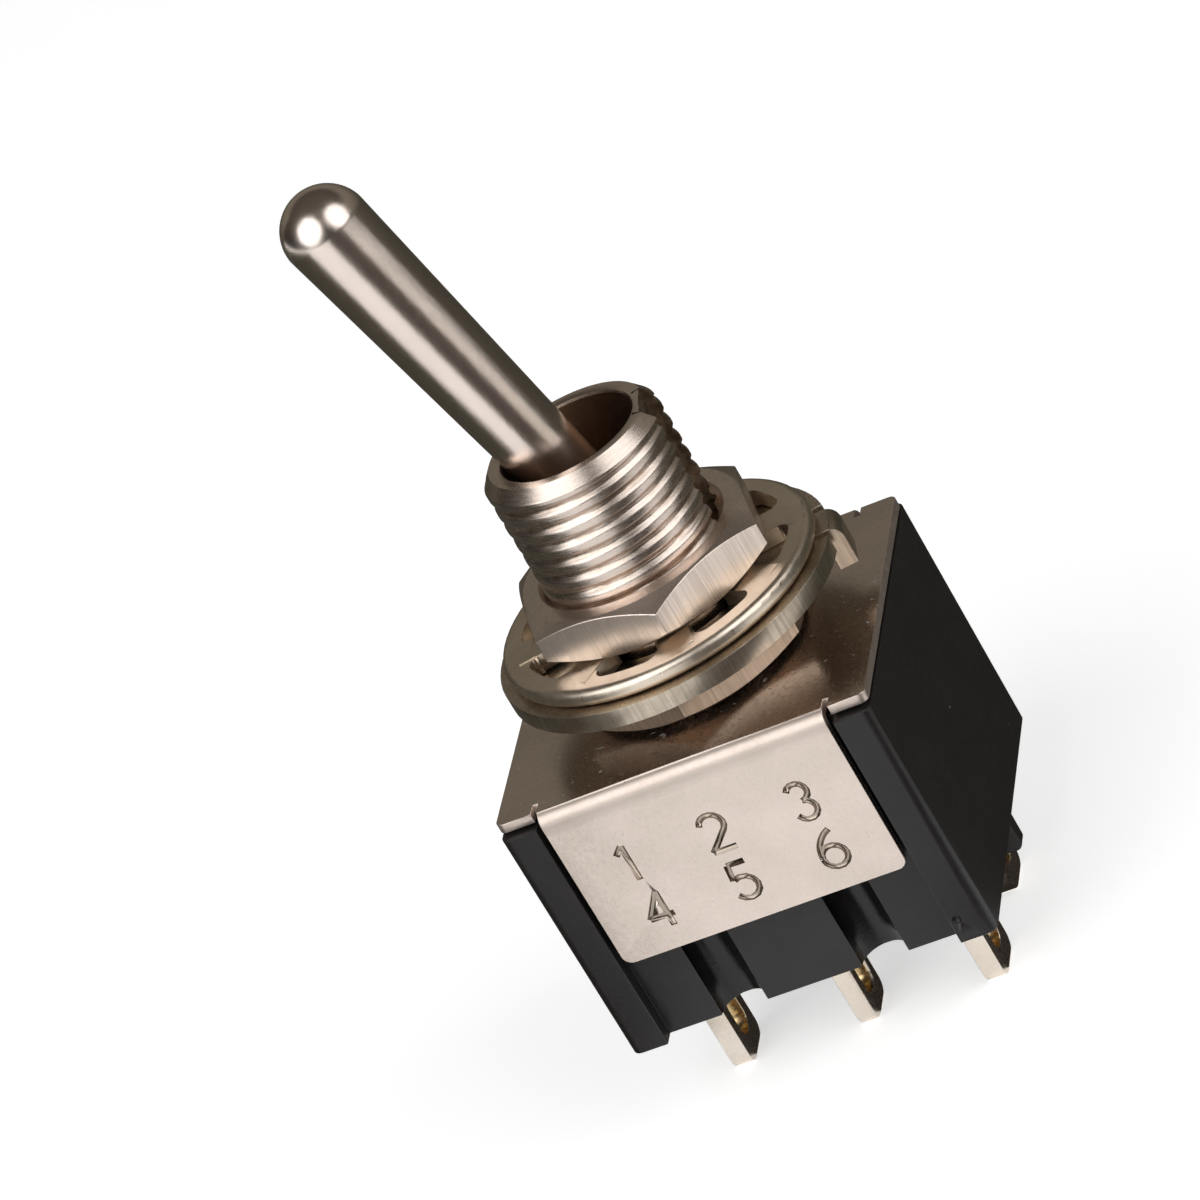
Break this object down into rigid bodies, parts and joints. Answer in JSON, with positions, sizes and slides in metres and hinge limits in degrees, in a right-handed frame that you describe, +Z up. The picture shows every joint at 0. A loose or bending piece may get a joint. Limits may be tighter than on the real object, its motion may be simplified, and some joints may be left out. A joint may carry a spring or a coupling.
{
  "type": "miniature toggle switch",
  "caption": "Miniature toggle switch: a domed lever in a threaded bushing with nuts and washers, on a folded metal frame over a black case with solder lugs.",
  "frame": {"origin": "on the bushing axis, in the plane of the solder lug tips", "axes": "+X the way the lever swings from rest, +Y towards the rear pole, +Z up the bushing"},
  "size_m": [0.0132, 0.0124, 0.0335],
  "materials": {
    "case_plastic": "satin black moulding",
    "plated_sheet": "nickel-plated sheet steel",
    "plated_turned": "nickel-plated turned brass",
    "polished_lever": "polished nickel plate on brass",
    "plated_nut": "nickel-plated machined brass",
    "plated_washer": "nickel-plated stamped steel",
    "lug_plating": "silver-plated brass",
    "contact_strip": "silver-plated copper alloy",
    "contact_silver": "silver contact",
    "plunger_brass": "bare brass",
    "spring_steel": "spring wire",
    "bar_plastic": "natural nylon",
    "potting_resin": "cast epoxy"
  },
  "bodies": {
    "base": {"case": "case_plastic", "frame_plate": "plated_sheet", "bushing": "plated_turned", "lower_nut": "plated_nut", "locating_washer": "plated_washer", "lock_washer": "plated_washer", "upper_nut": "plated_nut", "terminal_seal_front": "potting_resin", "common_terminal_front": "lug_plating", "throw_terminal_front_left": "lug_plating", "fixed_contact_front_left": "contact_silver", "throw_terminal_front_right": "lug_plating", "fixed_contact_front_right": "contact_silver", "terminal_seal_rear": "potting_resin", "common_terminal_rear": "lug_plating", "throw_terminal_rear_left": "lug_plating", "fixed_contact_rear_left": "contact_silver", "throw_terminal_rear_right": "lug_plating", "fixed_contact_rear_right": "contact_silver"},
    "lever": {"toggle_lever": "polished_lever", "actuator_bar": "bar_plastic", "plunger_spring_front": "spring_steel", "plunger_spring_rear": "spring_steel"},
    "plunger_front": {"plunger_front": "plunger_brass"},
    "rocker_front": {"contact_rocker_front": "contact_strip"},
    "plunger_rear": {"plunger_rear": "plunger_brass"},
    "rocker_rear": {"contact_rocker_rear": "contact_strip"}
  },
  "joints": [
    {"name": "toggle_swing", "type": "hinge", "parent": "base", "child": "lever", "pos_m": [0, 0, 0.0185], "axis": [0, 1, 0], "range_deg": [0, 28]},
    {"name": "plunger_front_slide", "type": "slide", "parent": "lever", "child": "plunger_front", "axis": [0.2419, 0, -0.9703], "range_m": [-0.0003, 0.00003], "stiffness_N_per_m": 200, "springref_m": 0.0012, "deforming": ["plunger_spring_front"]},
    {"name": "rocker_front_tilt", "type": "hinge", "parent": "base", "child": "rocker_front", "pos_m": [0, -0.0024, 0.00816], "axis": [0, 1, 0], "range_deg": [-16, 0]},
    {"name": "plunger_rear_slide", "type": "slide", "parent": "lever", "child": "plunger_rear", "axis": [0.2419, 0, -0.9703], "range_m": [-0.0003, 0.00003], "stiffness_N_per_m": 200, "springref_m": 0.0012, "deforming": ["plunger_spring_rear"]},
    {"name": "rocker_rear_tilt", "type": "hinge", "parent": "base", "child": "rocker_rear", "pos_m": [0, 0.0024, 0.00816], "axis": [0, 1, 0], "range_deg": [-16, 0]}
  ],
  "couplings": [
    {"joint": "rocker_front_tilt", "follows": "toggle_swing", "ratio": -0.57143},
    {"joint": "rocker_rear_tilt", "follows": "toggle_swing", "ratio": -0.57143}
  ]
}
